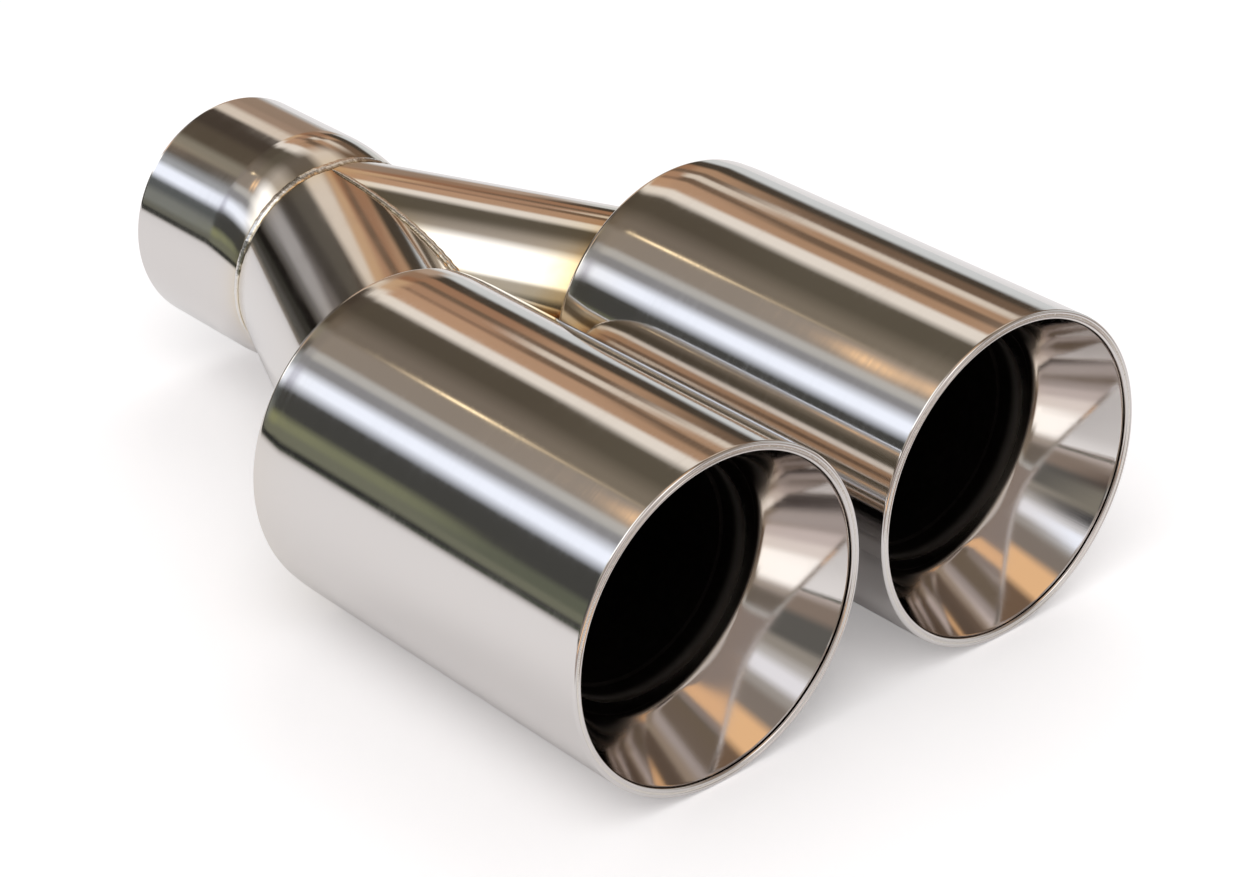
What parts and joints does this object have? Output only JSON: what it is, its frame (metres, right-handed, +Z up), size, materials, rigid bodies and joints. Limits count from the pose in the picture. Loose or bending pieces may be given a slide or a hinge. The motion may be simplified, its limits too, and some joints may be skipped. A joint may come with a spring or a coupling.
{
  "type": "exhaust tip",
  "caption": "Polished stainless exhaust tip: one round inlet collar, two legs that spread from it and two double-wall round outlets with dished rims.",
  "frame": {"origin": "centre of the inlet collar's mouth", "axes": "+Y out of the inlet, away from the outlets; +X to the right-hand can seen from the outlets; +Z up, square to the plane of the two can axes"},
  "size_m": [0.1852, 0.259, 0.0888],
  "materials": {
    "polished_stainless": "mirror polished, with fine polishing lines",
    "polished_dish": "polished pressing, dark behind the throat",
    "weld_metal": "rippled weld bead, brushed bright, straw tint at its edges"
  },
  "bodies": {
    "root": {"inlet_collar": "polished_stainless", "left_leg": "polished_stainless", "right_leg": "polished_stainless", "collar_weld": "weld_metal", "crotch_weld": "weld_metal", "left_shell": "polished_stainless", "right_shell": "polished_stainless", "left_shell_weld": "weld_metal", "right_shell_weld": "weld_metal", "left_dish": "polished_dish", "right_dish": "polished_dish", "left_rim_weld": "weld_metal", "right_rim_weld": "weld_metal"}
  },
  "joints": []
}
